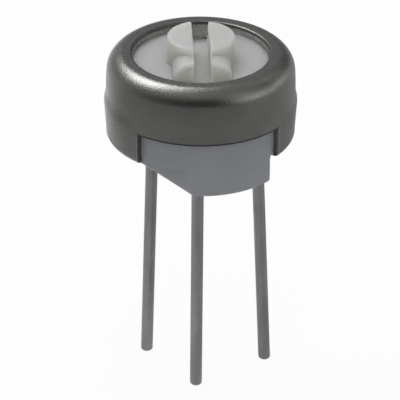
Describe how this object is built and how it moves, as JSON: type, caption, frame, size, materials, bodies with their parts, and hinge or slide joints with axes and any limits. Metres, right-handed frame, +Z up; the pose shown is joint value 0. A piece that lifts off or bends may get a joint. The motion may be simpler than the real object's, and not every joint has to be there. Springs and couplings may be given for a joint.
{
  "type": "trimmer potentiometer",
  "caption": "Round sealed single-turn trimmer potentiometer: drawn metal cap crimped over a moulded base, slotted white rotor in the open top, round leads below for a circuit board.",
  "frame": {"origin": "centre of the foot's underside, where the part sits on the board", "axes": "+Z up along the rotor's axis, -Y towards the wiper's lead, +X towards lead 3"},
  "size_m": [0.0078, 0.0078, 0.0152],
  "materials": {
    "cap_metal": "satin plated, slightly grainy",
    "base_plastic": "moulded, satin",
    "rotor_plastic": "moulded, milky white",
    "seal_rubber": "matte",
    "spring_metal": "bright spring strip",
    "alumina": "fired, matte",
    "cermet": "fired print, dull",
    "silver_print": "fired metal print",
    "tinned_wire": "tinned, satin",
    "solder": "bright"
  },
  "bodies": {
    "housing": {"metal_cap": "cap_metal", "base": "base_plastic", "element_substrate": "alumina", "resistive_track": "cermet", "termination_pads": "silver_print", "collector": "silver_print", "terminal_1": "tinned_wire", "terminal_2": "tinned_wire", "terminal_3": "tinned_wire", "solder_joints": "solder"},
    "rotor": {"rotor": "rotor_plastic", "wiper": "spring_metal", "rotor_seal": "seal_rubber"}
  },
  "joints": [
    {"name": "rotor_turn", "type": "hinge", "parent": "housing", "child": "rotor", "pos_m": [0, 0, 0.0035], "axis": [0, 0, 1], "range_deg": [-144.7, 125.3]}
  ]
}
